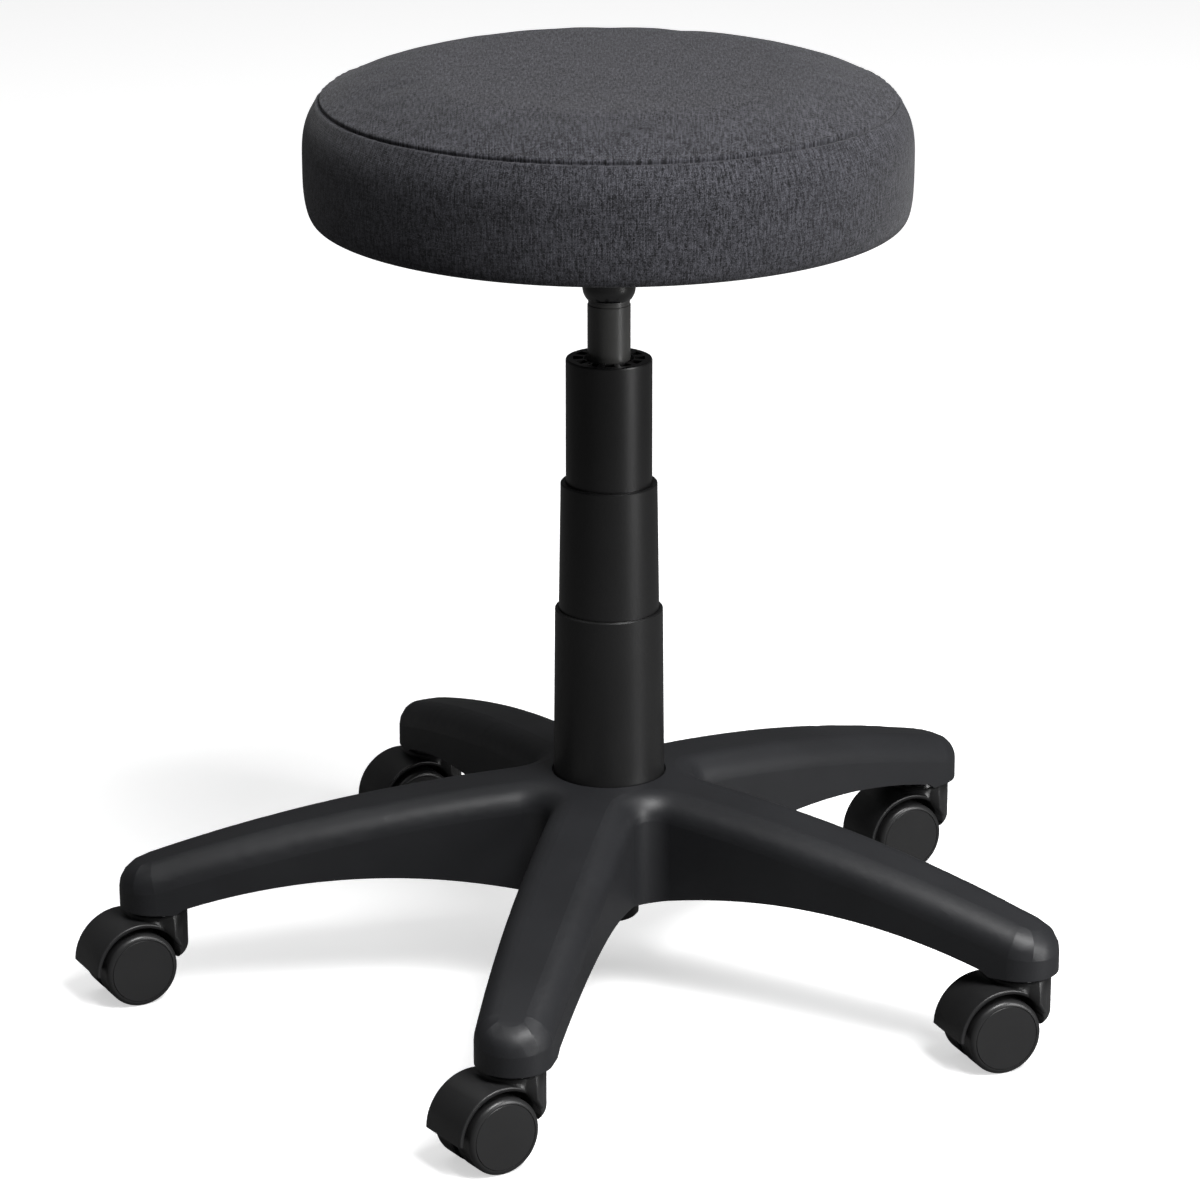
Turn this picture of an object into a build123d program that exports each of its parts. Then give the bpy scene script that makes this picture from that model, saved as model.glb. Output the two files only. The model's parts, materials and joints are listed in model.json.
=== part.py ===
from build123d import *
import os
from math import cos, radians, sin

# Height-adjustable swivel stool: upholstered round seat, gas spring, telescopic covers, caster base.
# Millimetres, +Z up.  The origin is on the column axis at floor level; the stool stands at its full
# height, which is the rest pose of the height slide.

os.makedirs("parts", exist_ok=True)

# ---------------------------------------------------------------- driving dimensions
FIT = 0.05                # running and assembly clearance, on the radius
GAP = 0.3                 # clearance between pieces of different bodies
LAYER = 0.1               # gap between pieces laid on each other

# Seat
SEAT_TOP = 614.5
SEAT_BOTTOM = 522.8
SEAT_R = 195.0            # widest radius of the boxing
SEAT_BULGE_Z = 561.7      # height of the widest radius
SEAM_R, SEAM_Z = 184.4, 598.0
SEAT_FLAT_R = 150.0       # flat middle of the top panel
SEAT_FOOT_R = 186.0       # where the underside meets the corner roll
FABRIC = 1.2
BOARD_R, BOARD_T = 182.0, 12.0
HEM_R = 150.0             # inner edge of the turned-under fabric
DUST_T = 0.8

# Steel plate and lever
PLATE_SIDE, PLATE_T = 152.0, 2.5
BOLT_PITCH = 124.0
BOX_LENGTH, BOX_WIDTH, BOX_DEPTH = 96.0, 60.0, 23.0
LEVER_AZIMUTH = 20.0
LEVER_PIVOT_R = 30.0
LEVER_TIP_R = 172.0
LEVER_DROP = 18.0         # fall of the lever from pivot to tip

# Gas spring
STROKE = 140.0
CYLINDER_R = 14.0
CYLINDER_BOTTOM, CYLINDER_TOP = 206.0, 505.0
TAPER_START = 466.0
ROD_R = 5.0
ROD_BOTTOM, ROD_TOP = 43.0, 238.0

# Column tube
TUBE_R = 25.0
TUBE_WALL = 2.1
TUBE_TOP = 301.0
TUBE_BOTTOM = 41.4
NECK_R = 20.0
TUBE_FLOOR = 50.0         # inner face of the rolled-in floor
HUB_TOP = 142.0
HUB_BOTTOM = 66.0

# Telescopic covers: bottom and top height, bottom and top outer radius
COVER_LOWER = (142.2, 257.6, 36.8, 35.6)
COVER_MIDDLE = (231.7, 343.7, 33.3, 31.7)
COVER_UPPER = (315.0, 427.2, 28.3, 28.15)
COVER_WALL = 2.1
CAP_HOLES = 12

# Five-arm base
ARMS = 5
FIRST_ARM = -101.1        # azimuth of the first arm
CASTER_R = 302.1          # radius of the caster swivel axes
ARM_HALF = 28.5           # half width of an arm near the hub
STRAIGHT_END = 150.0      # radius where the arm starts to narrow
TIP_R = 24.6              # plan radius of each arm's rounded tip
TIP_LEAN = 2.9            # angle of the narrowing flank where it meets the tip
WEB_FILLET = 16.0         # plan radius between neighbouring arms
TOP_FILLET = 17.0
CORE_FILLET = 12.0        # the same rounding on the hollow underside
RIDGE_ROOT, RIDGE_MIDDLE = (38.0, 144.2), (180.0, 125.4)   # radius and height of an arm's ridge
RIDGE_TIP, RIDGE_END = (311.0, 93.0), (332.0, 85.5)
BASE_WALL = 4.5
ARCH_START, ARCH_END = 50.0, 286.0
ARCH_TOP = 84.0           # underside of an arm at mid length
TIP_BOTTOM = 62.5
RIB_T, RIB_BOTTOM = 3.2, 86.0
RIB_RADII = (90.0, 135.0, 180.0, 225.0, 268.0)
HUB_BOSS_R = 31.0
SOCKET_R, SOCKET_TOP = 5.6, 91.0
BOSS_R = 10.5

# Casters
WHEEL_R = 25.0
TRAIL = 20.0              # horizontal distance from swivel axis to axle
WHEEL_IN, WHEEL_OUT = 4.0, 21.5
HOOD_HALF = 19.5
HOOD_R = 32.0
POCKET_R = 29.4
WEB_HALF = 3.0
NECK_TOP = 59.4
CASTER_BOSS_R = 20.0
AXLE_R = 4.0
STEM_R = 5.5
CASTER_HEADINGS = (214.0, 203.0, 209.0, 209.0, 208.0)


def save(builder, name):
    """Label a finished piece and write its STEP file."""
    builder.part.label = name
    export_step(builder.part, f"parts/{name}.step")


def turned(*points, mode=Mode.ADD):
    """Revolve a closed outline of (radius, height) corners about Z in the current part."""
    with BuildSketch(Plane.XZ) as profile:
        with BuildLine():
            Polyline(*points, close=True)
        make_face()
    revolve(profile.sketch, axis=Axis.Z, mode=mode)


def upright(azimuth, radius=0.0, height=0.0):
    """Plane at a point of the floor plan, X pointing outwards at the azimuth and Z up."""
    angle = radians(azimuth)
    outward = (cos(angle), sin(angle), 0)
    origin = (radius * cos(angle), radius * sin(angle), height)
    return Plane(origin=origin, x_dir=outward, z_dir=(0, 0, 1))


def side_view(azimuth, radius=0.0, height=0.0):
    """Upright plane that holds an azimuth direction: sketch X points outwards and sketch Y up."""
    base = upright(azimuth, radius, height)
    return Plane(origin=base.origin, x_dir=base.x_dir, z_dir=base.x_dir.cross(Vector(0, 0, 1)))


def axis_distance(shape):
    """Distance of a shape's centre from the column axis."""
    return Vector(shape.center().X, shape.center().Y, 0).length


# ---------------------------------------------------------------- seat
def seat_outline(inset):
    """Half profile of the padded seat, moved inwards by inset: top, seam, bulge and corner roll."""
    top = (SEAT_FLAT_R, SEAT_TOP - inset)
    seam = (SEAM_R - inset, SEAM_Z - inset)
    bulge = (SEAT_R - inset, SEAT_BULGE_Z)
    corner = (SEAT_FOOT_R + 5.2 - inset, SEAT_BOTTOM + 8.5)
    foot = (SEAT_FOOT_R - inset, SEAT_BOTTOM + inset)
    Line((0, SEAT_TOP - inset), top)
    TangentArc(top, seam, tangent=(1, 0))
    ThreePointArc(seam, (SEAT_R - 2.6 - inset, (SEAM_Z + SEAT_BULGE_Z) / 2 + 2), bulge)
    ThreePointArc(bulge, (SEAT_R - 1.1 - inset, (SEAT_BULGE_Z + SEAT_BOTTOM) / 2 + 3), corner)
    ThreePointArc(corner, (SEAT_FOOT_R + 3.4 - inset, SEAT_BOTTOM + 2.4 + inset / 2), foot)
    return foot


BOARD_BOTTOM = SEAT_BOTTOM + FABRIC + LAYER
BOARD_TOP = BOARD_BOTTOM + BOARD_T

with BuildPart() as seat_cover:
    with BuildSketch(Plane.XZ):
        with BuildLine():
            foot = seat_outline(0)
            Line(foot, (HEM_R, SEAT_BOTTOM))
            Line((HEM_R, SEAT_BOTTOM), (HEM_R, SEAT_BOTTOM + FABRIC))
            Line((HEM_R, SEAT_BOTTOM + FABRIC), (0, SEAT_BOTTOM + FABRIC))
            Line((0, SEAT_BOTTOM + FABRIC), (0, SEAT_TOP))
        make_face()
        with BuildLine():
            foot = seat_outline(FABRIC)
            Line(foot, (0, SEAT_BOTTOM + FABRIC))
            Line((0, SEAT_BOTTOM + FABRIC), (0, SEAT_TOP - FABRIC))
        make_face(mode=Mode.SUBTRACT)
    revolve(axis=Axis.Z)
save(seat_cover, "seat_cover")

with BuildPart() as seat_foam:
    with BuildSketch(Plane.XZ):
        with BuildLine():
            foot = seat_outline(FABRIC + LAYER)
            lip = (BOARD_R + 0.2, foot[1])
            Line(foot, lip)
            Line(lip, (lip[0], BOARD_TOP + LAYER))
            Line((lip[0], BOARD_TOP + LAYER), (0, BOARD_TOP + LAYER))
            Line((0, BOARD_TOP + LAYER), (0, SEAT_TOP - FABRIC - LAYER))
        make_face()
    revolve(axis=Axis.Z)
save(seat_foam, "seat_foam")

BOLT_HOLE_R = 3.3
TEE_NUT_R = 4.4
TEE_NUT_LENGTH = 9.0
FLANGE_R, FLANGE_T = 9.5, 1.2
with BuildPart() as seat_board:
    with BuildSketch(Plane.XY.offset(BOARD_BOTTOM)):
        Circle(BOARD_R)
        with GridLocations(BOLT_PITCH, BOLT_PITCH, 2, 2):
            Circle(TEE_NUT_R + FIT, mode=Mode.SUBTRACT)
    extrude(amount=BOARD_T)
    with BuildSketch(Plane.XY.offset(BOARD_BOTTOM + BOARD_T)):
        with GridLocations(BOLT_PITCH, BOLT_PITCH, 2, 2):
            Circle(FLANGE_R + FIT)
    extrude(amount=-FLANGE_T - LAYER, mode=Mode.SUBTRACT)
    chamfer(seat_board.edges().filter_by(GeomType.CIRCLE).sort_by(SortBy.RADIUS)[-2:], 1.0)
save(seat_board, "seat_board")

PLATE_TOP = BOARD_BOTTOM - 0.15 - DUST_T
with BuildPart() as dust_cover:
    flat = BOARD_BOTTOM - LAYER
    drop = SEAT_BOTTOM - LAYER
    turned(
        (0, flat), (HEM_R - 8, flat), (HEM_R - 3, drop), (HEM_R + 20, drop),
        (HEM_R + 20, drop - DUST_T), (HEM_R - 3, drop - DUST_T), (HEM_R - 8, flat - DUST_T),
        (0, flat - DUST_T),
    )
    with BuildSketch(Plane.XY.offset(PLATE_TOP)):
        with GridLocations(BOLT_PITCH, BOLT_PITCH, 2, 2):
            Circle(BOLT_HOLE_R)
    extrude(amount=2, mode=Mode.SUBTRACT)
save(dust_cover, "dust_cover")

STAPLES = 24
STAPLE_WIRE = 0.6
with BuildPart() as staples:
    crown = SEAT_BOTTOM - LAYER - DUST_T - STAPLE_WIRE
    with BuildSketch(Plane.XY.offset(crown)):
        with PolarLocations(HEM_R + 10, STAPLES):
            Rectangle(STAPLE_WIRE, 10)
    extrude(amount=STAPLE_WIRE)
    with BuildSketch(Plane.XY.offset(crown + STAPLE_WIRE)):
        with PolarLocations(HEM_R + 10, STAPLES):
            with GridLocations(0, 9.4, 1, 2):
                Rectangle(STAPLE_WIRE, STAPLE_WIRE)
    extrude(amount=7)
save(staples, "staples")

with BuildPart() as tee_nuts:
    with BuildSketch(Plane.XY.offset(BOARD_TOP - TEE_NUT_LENGTH)):
        with GridLocations(BOLT_PITCH, BOLT_PITCH, 2, 2):
            Circle(TEE_NUT_R)
            Circle(BOLT_HOLE_R - 0.25, mode=Mode.SUBTRACT)
    extrude(amount=TEE_NUT_LENGTH)
    with BuildSketch(Plane.XY.offset(BOARD_TOP - FLANGE_T)):
        with GridLocations(BOLT_PITCH, BOLT_PITCH, 2, 2):
            Circle(FLANGE_R)
            Circle(BOLT_HOLE_R - 0.25, mode=Mode.SUBTRACT)
    extrude(amount=FLANGE_T)
save(tee_nuts, "tee_nuts")

with BuildPart() as plate_bolts:
    under = PLATE_TOP - PLATE_T - FIT
    with BuildSketch(Plane.XY.offset(under - 4)):
        with GridLocations(BOLT_PITCH, BOLT_PITCH, 2, 2):
            RegularPolygon(5.8, 6)
            RegularPolygon(2.6, 6, mode=Mode.SUBTRACT)
    extrude(amount=2.5)
    with BuildSketch(Plane.XY.offset(under - 1.5)):
        with GridLocations(BOLT_PITCH, BOLT_PITCH, 2, 2):
            Circle(6.2)
    extrude(amount=1.5)
    with BuildSketch(Plane.XY.offset(under)):
        with GridLocations(BOLT_PITCH, BOLT_PITCH, 2, 2):
            Circle(BOLT_HOLE_R - 0.3)
    extrude(amount=BOARD_TOP - under)
save(plate_bolts, "plate_bolts")

# ---------------------------------------------------------------- plate, hub and lever
HUB_R = 17.25
HUB_END = 467.0
LEVER_Z = PLATE_TOP - 11.2
side = side_view(LEVER_AZIMUTH, LEVER_PIVOT_R, LEVER_Z)
with BuildPart() as seat_plate:
    with BuildSketch(Plane.XY.offset(PLATE_TOP)):
        RectangleRounded(PLATE_SIDE, PLATE_SIDE, 12)
    extrude(amount=-PLATE_T)
    with BuildSketch(upright(LEVER_AZIMUTH, height=PLATE_TOP)):
        RectangleRounded(BOX_LENGTH, BOX_WIDTH, 10)
    extrude(amount=-BOX_DEPTH, taper=5)
    with BuildSketch(upright(LEVER_AZIMUTH, height=PLATE_TOP)):
        RectangleRounded(BOX_LENGTH - 2 * PLATE_T, BOX_WIDTH - 2 * PLATE_T, 8)
    extrude(amount=PLATE_T - BOX_DEPTH, taper=5, mode=Mode.SUBTRACT)
    with BuildSketch(Plane.XY.offset(PLATE_TOP)):
        Circle(HUB_R + FIT)
        with GridLocations(BOLT_PITCH, BOLT_PITCH, 2, 2):
            Circle(BOLT_HOLE_R)
    extrude(amount=-BOX_DEPTH - 1, mode=Mode.SUBTRACT)
    with BuildSketch(upright(LEVER_AZIMUTH, BOX_LENGTH / 2, LEVER_Z)):
        Rectangle(20, 11)
    extrude(amount=7, both=True, mode=Mode.SUBTRACT)
    with BuildSketch(side):
        Circle(2.5 + FIT)
    extrude(amount=BOX_WIDTH, both=True, mode=Mode.SUBTRACT)
save(seat_plate, "seat_plate")

with BuildPart() as plate_hub:
    top = PLATE_TOP - BOX_DEPTH + PLATE_T + 1.5
    with BuildSketch(Plane.XZ):
        with BuildLine():
            Polyline((HUB_R, HUB_END + 7.5), (HUB_R, top), (CYLINDER_R - 0.8, top), (CYLINDER_R, HUB_END))
            Line((CYLINDER_R, HUB_END), (CYLINDER_R + 0.6, HUB_END))
            ThreePointArc((CYLINDER_R + 0.6, HUB_END), (HUB_R - 0.8, HUB_END + 3.2), (HUB_R, HUB_END + 7.5))
        make_face()
    revolve(axis=Axis.Z)
save(plate_hub, "plate_hub")

with BuildPart() as lever_pivot:
    with BuildSketch(side):
        Circle(2.5)
    extrude(amount=BOX_WIDTH / 2 + 1.5, both=True)
    with BuildSketch(side.offset(BOX_WIDTH / 2 + 0.2), side.offset(-BOX_WIDTH / 2 - 1.5)):
        Circle(4)
    extrude(amount=1.3)
save(lever_pivot, "lever_pivot")

ROD_LENGTH = LEVER_TIP_R - LEVER_PIVOT_R
LEVER_SLOPE = -LEVER_DROP / ROD_LENGTH
with BuildPart() as release_lever:
    with BuildSketch(side):
        Circle(5)
    extrude(amount=7, both=True)
    with BuildSketch(upright(LEVER_AZIMUTH, LEVER_PIVOT_R / 2 - 3, LEVER_Z)):
        Rectangle(LEVER_PIVOT_R + 6, 14)
    extrude(amount=1.5, both=True)
    slope_dir = Vector(1, 0, LEVER_SLOPE).normalized().rotate(Axis.Z, LEVER_AZIMUTH)
    rod_plane = Plane(origin=side.origin, x_dir=(0, 0, 1), z_dir=slope_dir)
    with BuildSketch(rod_plane):
        Circle(3.5)
    extrude(amount=ROD_LENGTH - 6)
    with BuildSketch(side):
        Circle(2.5 + FIT)
    extrude(amount=10, both=True, mode=Mode.SUBTRACT)
save(release_lever, "release_lever")

GRIP_START = 74.0
GRIP_SECTIONS = (
    (GRIP_START, 5.2, 5.5), (GRIP_START + 22, 5.0, 8.0), (ROD_LENGTH - 12, 4.2, 10.5),
    (ROD_LENGTH - 2, 3.6, 9.5), (ROD_LENGTH, 2.2, 7.5),
)
with BuildPart() as lever_grip:
    for along, high, wide in GRIP_SECTIONS:
        with BuildSketch(rod_plane.offset(along)):
            Ellipse(high, wide)
    loft()
    with BuildSketch(rod_plane):
        Circle(3.5 + FIT)
    extrude(amount=ROD_LENGTH - 5.5, mode=Mode.SUBTRACT)
save(lever_grip, "lever_grip")

# ---------------------------------------------------------------- gas spring
BORE_R = 12.5             # inside radius of the pressure cylinder
LINER_R = 10.5            # inside radius of the liner the piston runs in
NOSE_R = CYLINDER_R - 1.0  # small end of the taper
VALVE_BOTTOM = 468.0
SEAL_TOP = CYLINDER_BOTTOM + 18.0
with BuildPart() as pressure_cylinder:
    turned(
        (9, CYLINDER_BOTTOM), (CYLINDER_R - 1, CYLINDER_BOTTOM), (CYLINDER_R, CYLINDER_BOTTOM + 1),
        (CYLINDER_R, TAPER_START - 3), (CYLINDER_R - 0.5, TAPER_START - 2.5),
        (CYLINDER_R - 0.5, TAPER_START - 0.5), (CYLINDER_R - 0.1, TAPER_START), (NOSE_R, CYLINDER_TOP),
        (8, CYLINDER_TOP), (8, CYLINDER_TOP - 1.5), (BORE_R - 1, CYLINDER_TOP - 1.5),
        (BORE_R - 1, VALVE_BOTTOM), (BORE_R, VALVE_BOTTOM), (BORE_R, CYLINDER_BOTTOM + 1.5),
        (9, CYLINDER_BOTTOM + 1.5),
    )
save(pressure_cylinder, "pressure_cylinder")

with BuildPart() as cylinder_liner:
    turned((LINER_R, SEAL_TOP + 0.2), (LINER_R + 1, SEAL_TOP + 0.2), (LINER_R + 1, 467.8), (LINER_R, 467.8))
save(cylinder_liner, "cylinder_liner")

PIN_R = 3.0
with BuildPart() as valve_body:
    turned(
        (PIN_R + FIT, VALVE_BOTTOM + 0.1), (BORE_R - 1 - FIT, VALVE_BOTTOM + 0.1),
        (BORE_R - 1 - FIT, CYLINDER_TOP - 1.6), (PIN_R + FIT, CYLINDER_TOP - 1.6),
    )
    for groove in (8.0, 20.0):
        turned(
            (BORE_R - 2.2, VALVE_BOTTOM + groove), (BORE_R, VALVE_BOTTOM + groove),
            (BORE_R, VALVE_BOTTOM + groove + 2.4), (BORE_R - 2.2, VALVE_BOTTOM + groove + 2.4),
            mode=Mode.SUBTRACT,
        )
save(valve_body, "valve_body")

with BuildPart() as rod_seal:
    turned(
        (ROD_R + FIT, CYLINDER_BOTTOM + 1.6), (BORE_R - FIT, CYLINDER_BOTTOM + 1.6),
        (BORE_R - FIT, SEAL_TOP), (ROD_R + FIT, SEAL_TOP),
    )
save(rod_seal, "rod_seal")

PIN_TOP = LEVER_Z - 1.5 - GAP
with BuildPart() as release_pin:
    with BuildSketch(Plane.XY.offset(VALVE_BOTTOM + 22)):
        Circle(PIN_R)
    extrude(amount=PIN_TOP - VALVE_BOTTOM - 22)
    fillet(release_pin.edges().filter_by(GeomType.CIRCLE), 0.6)
save(release_pin, "release_pin")

PISTON_BOTTOM, PISTON_TOP = SEAL_TOP + 2.0, SEAL_TOP + 12.0
CLIP_Z = 45.6
with BuildPart() as piston_rod:
    turned(
        (0, ROD_BOTTOM), (ROD_R - 1, ROD_BOTTOM), (ROD_R, ROD_BOTTOM + 1), (ROD_R, CLIP_Z - 0.1),
        (ROD_R - 1, CLIP_Z - 0.1), (ROD_R - 1, CLIP_Z + 1.2), (ROD_R, CLIP_Z + 1.2),
        (ROD_R, TUBE_FLOOR + 6.1), (ROD_R + 2.5, TUBE_FLOOR + 6.1), (ROD_R + 2.5, TUBE_FLOOR + 8),
        (ROD_R, TUBE_FLOOR + 8), (ROD_R, PISTON_BOTTOM), (ROD_R - 1, PISTON_BOTTOM),
        (ROD_R - 1, ROD_TOP), (0, ROD_TOP),
    )
save(piston_rod, "piston_rod")

with BuildPart() as piston:
    turned(
        (ROD_R - 1 + FIT, PISTON_BOTTOM + 0.1), (LINER_R - 1, PISTON_BOTTOM + 0.1),
        (LINER_R - FIT, PISTON_BOTTOM + 1.1), (LINER_R - FIT, PISTON_TOP - 1), (LINER_R - 1, PISTON_TOP),
        (ROD_R - 1 + FIT, PISTON_TOP),
    )
    turned(
        (LINER_R - 1.5, PISTON_BOTTOM + 4), (LINER_R + 1, PISTON_BOTTOM + 4),
        (LINER_R + 1, PISTON_BOTTOM + 6), (LINER_R - 1.5, PISTON_BOTTOM + 6), mode=Mode.SUBTRACT,
    )
save(piston, "piston")

with BuildPart() as rod_clip:
    with BuildSketch(Plane.XY.offset(CLIP_Z)):
        Circle(9)
        Circle(ROD_R - 1 + FIT, mode=Mode.SUBTRACT)
        with Locations((6, 0)):
            Rectangle(12, 5.5, mode=Mode.SUBTRACT)
        with PolarLocations(6.2, 2, start_angle=115, angular_range=130, endpoint=True):
            Circle(1.1, mode=Mode.SUBTRACT)
    extrude(amount=1.1)
save(rod_clip, "rod_clip")

BALLS, BALL_R, BALL_RING_R = 12, 1.45, 9.5
RACE_T = 1.5
BALL_Z = TUBE_FLOOR + RACE_T + BALL_R + FIT
with BuildPart() as bearing_balls:
    with PolarLocations(BALL_RING_R, BALLS):
        with Locations((0, 0, BALL_Z)):
            Sphere(BALL_R)
save(bearing_balls, "bearing_balls")

with BuildPart() as bearing_race_lower:
    floor = TUBE_FLOOR + 0.02
    turned((ROD_R + 1, floor), (13, floor), (13, floor + RACE_T - 0.02), (ROD_R + 1, floor + RACE_T - 0.02))
save(bearing_race_lower, "bearing_race_lower")

with BuildPart() as bearing_race_upper:
    under = BALL_Z + BALL_R + FIT
    turned((ROD_R + FIT, under), (13, under), (13, TUBE_FLOOR + 6), (ROD_R + FIT, TUBE_FLOOR + 6))
save(bearing_race_upper, "bearing_race_upper")

with BuildPart() as bump_stop:
    low = TUBE_FLOOR + 8.1
    high = CYLINDER_BOTTOM - STROKE - GAP
    turned(
        (ROD_R + FIT, low), (12, low), (12, high - 4), (10.8, high - 3), (12, high - 2), (11, high),
        (ROD_R + FIT, high),
    )
save(bump_stop, "bump_stop")

# ---------------------------------------------------------------- column tube and covers
HUB_TAPER_R = 23.3        # outside radius of the tube at the underside of the hub
INNER_R = TUBE_R - TUBE_WALL
with BuildPart() as column_tube:
    turned(
        (NECK_R - 1.5, TUBE_BOTTOM), (NECK_R, TUBE_BOTTOM + 1.6), (NECK_R, TUBE_FLOOR + 8),
        (NECK_R + 1.3, TUBE_FLOOR + 12), (HUB_TAPER_R, HUB_BOTTOM), (TUBE_R, HUB_TOP), (TUBE_R, TUBE_TOP),
        (INNER_R, TUBE_TOP), (INNER_R, HUB_TOP + 2), (HUB_TAPER_R - TUBE_WALL, HUB_BOTTOM + 2),
        (NECK_R - TUBE_WALL, TUBE_FLOOR + 10), (NECK_R - TUBE_WALL, TUBE_FLOOR), (ROD_R + 0.4, TUBE_FLOOR),
        (ROD_R + 0.4, TUBE_FLOOR - 3), (NECK_R - 2.6, TUBE_FLOOR - 3), (NECK_R - 2.6, TUBE_BOTTOM),
    )
save(column_tube, "column_tube")

BUSH_BOTTOM = 222.0
with BuildPart() as guide_bush:
    turned(
        (CYLINDER_R + FIT, BUSH_BOTTOM), (INNER_R - FIT, BUSH_BOTTOM), (INNER_R - FIT, TUBE_TOP + 0.1),
        (TUBE_R - 0.2, TUBE_TOP + 0.1), (TUBE_R - 0.2, TUBE_TOP + 2), (TUBE_R - 1.2, TUBE_TOP + 3),
        (CYLINDER_R + FIT, TUBE_TOP + 3),
    )
save(guide_bush, "guide_bush")

with BuildPart() as cover_lower:
    low, high, r_low, r_high = COVER_LOWER
    turned(
        (TUBE_R + FIT, low), (r_low, low), (r_high, high - 0.8), (r_high - 0.8, high),
        (COVER_MIDDLE[2] - 0.2 + GAP, high), (r_low - COVER_WALL - 0.6, low + 2.4),
        (TUBE_R + FIT, low + 2.4),
    )
save(cover_lower, "cover_lower")

LIP_R = COVER_UPPER[2] + GAP
with BuildPart() as cover_middle:
    low, high, r_low, r_high = COVER_MIDDLE
    turned(
        (r_low - 0.25 - COVER_WALL, low), (r_low - 0.25, low), (r_low - 0.2, COVER_LOWER[1] + 0.3),
        (r_high, high - 0.8), (r_high - 0.8, high), (LIP_R, high), (LIP_R, high - 2.5),
        (r_high - COVER_WALL + 0.2, high - 3.4),
    )
save(cover_middle, "cover_middle")

CAP_T = 2.6
with BuildPart() as cover_upper:
    low, high, r_low, r_high = COVER_UPPER
    turned(
        (r_low - COVER_WALL, low), (r_low, low), (r_high, high - 1.2), (r_high - 0.35, high - 0.35),
        (r_high - 1.2, high), (16.4, high), (15.6, high - 1.6), (CYLINDER_R + 0.5, high - 1.6),
        (CYLINDER_R + 0.5, high - 5), (15.6, high - 5), (15.6, high - CAP_T),
        (r_high - COVER_WALL, high - CAP_T),
    )
    with BuildSketch(Plane.XY.offset(high)):
        with PolarLocations(0, CAP_HOLES):
            with Locations((20.0, 0)):
                Trapezoid(8.4, 6.4, 77, rotation=90)
    extrude(amount=-2 * CAP_T, mode=Mode.SUBTRACT)
save(cover_upper, "cover_upper")

# ---------------------------------------------------------------- five-arm base
def star_plan(inset):
    """Plan of the five arms, moved inwards by inset: flanks, rounded tips and webs."""
    half = ARM_HALF - inset
    tip = TIP_R - inset
    shoulder = (STRAIGHT_END, half)
    corner = (CASTER_R + tip * sin(radians(TIP_LEAN)), tip * cos(radians(TIP_LEAN)))
    with BuildSketch() as plan:
        with PolarLocations(0, ARMS, start_angle=FIRST_ARM):
            with BuildSketch(mode=Mode.PRIVATE) as arm:
                with BuildLine():
                    Line((0, 0), (0, half))
                    Line((0, half), shoulder)
                    TangentArc(shoulder, corner, tangent=(1, 0))
                    ThreePointArc(corner, (CASTER_R + tip * cos(radians(45)), tip * sin(radians(45))),
                                  (CASTER_R + tip, 0))
                    Line((CASTER_R + tip, 0), (0, 0))
                make_face()
                mirror(about=Plane.XZ)
            add(arm.sketch)
        corners = plan.vertices().filter_by(lambda v: 30 < Vector(v.X, v.Y, 0).length < 60)
        fillet(corners, WEB_FILLET + inset)
    return plan.sketch


def arm_top(drop):
    """Ridge of the arms, lowered by drop, from the cover seat to past the tip."""
    root, middle, tip, end = (
        (radius, height - drop) for radius, height in (RIDGE_ROOT, RIDGE_MIDDLE, RIDGE_TIP, RIDGE_END)
    )
    ThreePointArc(root, middle, tip)
    Line(tip, end)
    return root, end


with BuildPart() as arm_core:
    with BuildSketch(Plane.XY.offset(TUBE_BOTTOM)):
        add(star_plan(BASE_WALL))
    extrude(amount=HUB_TOP)
    with BuildSketch(Plane.XZ):
        with BuildLine():
            root, end = arm_top(BASE_WALL)
            Polyline(root, (HUB_BOSS_R, root[1]), (HUB_BOSS_R, TUBE_BOTTOM), (end[0], TUBE_BOTTOM), end)
        make_face()
    revolve(axis=Axis.Z, mode=Mode.INTERSECT)
    ridge = arm_core.edges().filter_by(lambda e: e.geom_type != GeomType.LINE and e.center().Z > 84)
    fillet(ridge.filter_by(lambda e: axis_distance(e) > 50), CORE_FILLET)
    with BuildSketch(Plane.XY.offset(RIB_BOTTOM)):
        with PolarLocations(0, ARMS, start_angle=FIRST_ARM):
            with Locations((CASTER_R / 2, 0)):
                Rectangle(CASTER_R, RIB_T)
            for radius in RIB_RADII:
                with Locations((radius, 0)):
                    Rectangle(RIB_T, 2 * ARM_HALF)
    extrude(amount=HUB_TOP - RIB_BOTTOM, mode=Mode.SUBTRACT)
    with BuildSketch(Plane.XY.offset(TIP_BOTTOM)):
        with PolarLocations(CASTER_R, ARMS, start_angle=FIRST_ARM):
            Circle(BOSS_R)
    extrude(amount=HUB_TOP - TIP_BOTTOM, mode=Mode.SUBTRACT)

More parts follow.
